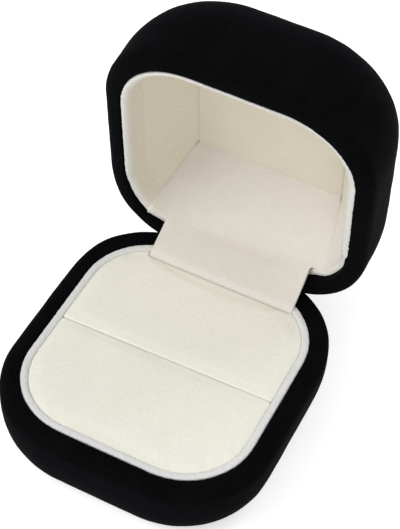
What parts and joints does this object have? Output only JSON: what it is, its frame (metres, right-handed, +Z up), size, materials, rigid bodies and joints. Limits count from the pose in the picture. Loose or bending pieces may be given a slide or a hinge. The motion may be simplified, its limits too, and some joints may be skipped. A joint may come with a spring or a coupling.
{
  "type": "ring box",
  "caption": "Small velvet-covered ring box with rounded corners, a padded base split by a ring slot, and a lined lid on a rear snap hinge.",
  "frame": {"origin": "middle of the sole's underside", "axes": "+Z up, +X along the hinge, +Y to the rear where the lid's hinge is"},
  "size_m": [0.0584, 0.0858, 0.0737],
  "materials": {
    "black_velvet": "short dense pile",
    "black_felt": "pressed felt",
    "white_velveteen": "short soft pile",
    "ivory_velveteen": "short soft pile",
    "cream_lining": "short soft pile",
    "moulded_plastic": "as moulded",
    "grey_board": "plain board",
    "foam": "open-cell foam",
    "hinge_steel": "nickel plated",
    "spring_steel": "blued spring strip",
    "rivet_steel": "plated"
  },
  "bodies": {
    "base": {"base_shell": "moulded_plastic", "base_velvet": "black_velvet", "base_sole": "black_felt", "base_collar": "white_velveteen", "pad_board": "grey_board", "front_pad_foam": "foam", "front_pad_cover": "ivory_velveteen", "rear_pad_foam": "foam", "rear_pad_cover": "ivory_velveteen", "base_hinge_leaf": "hinge_steel", "hinge_pin": "hinge_steel", "hinge_spring": "spring_steel", "base_hinge_rivets": "rivet_steel"},
    "lid": {"lid_shell": "moulded_plastic", "lid_velvet": "black_velvet", "lid_collar": "white_velveteen", "lid_wall_lining": "cream_lining", "lid_back_lining": "cream_lining", "lid_ceiling_lining": "cream_lining", "lid_ceiling_foam": "foam", "lid_hinge_leaf": "hinge_steel", "lid_hinge_rivets": "rivet_steel", "hinge_flap": "cream_lining"}
  },
  "joints": [
    {"name": "lid_hinge", "type": "hinge", "parent": "base", "child": "lid", "pos_m": [0, 0.0278, 0.014], "axis": [1, 0, 0], "range_deg": [0, 82], "deforming": ["hinge_flap"]}
  ]
}
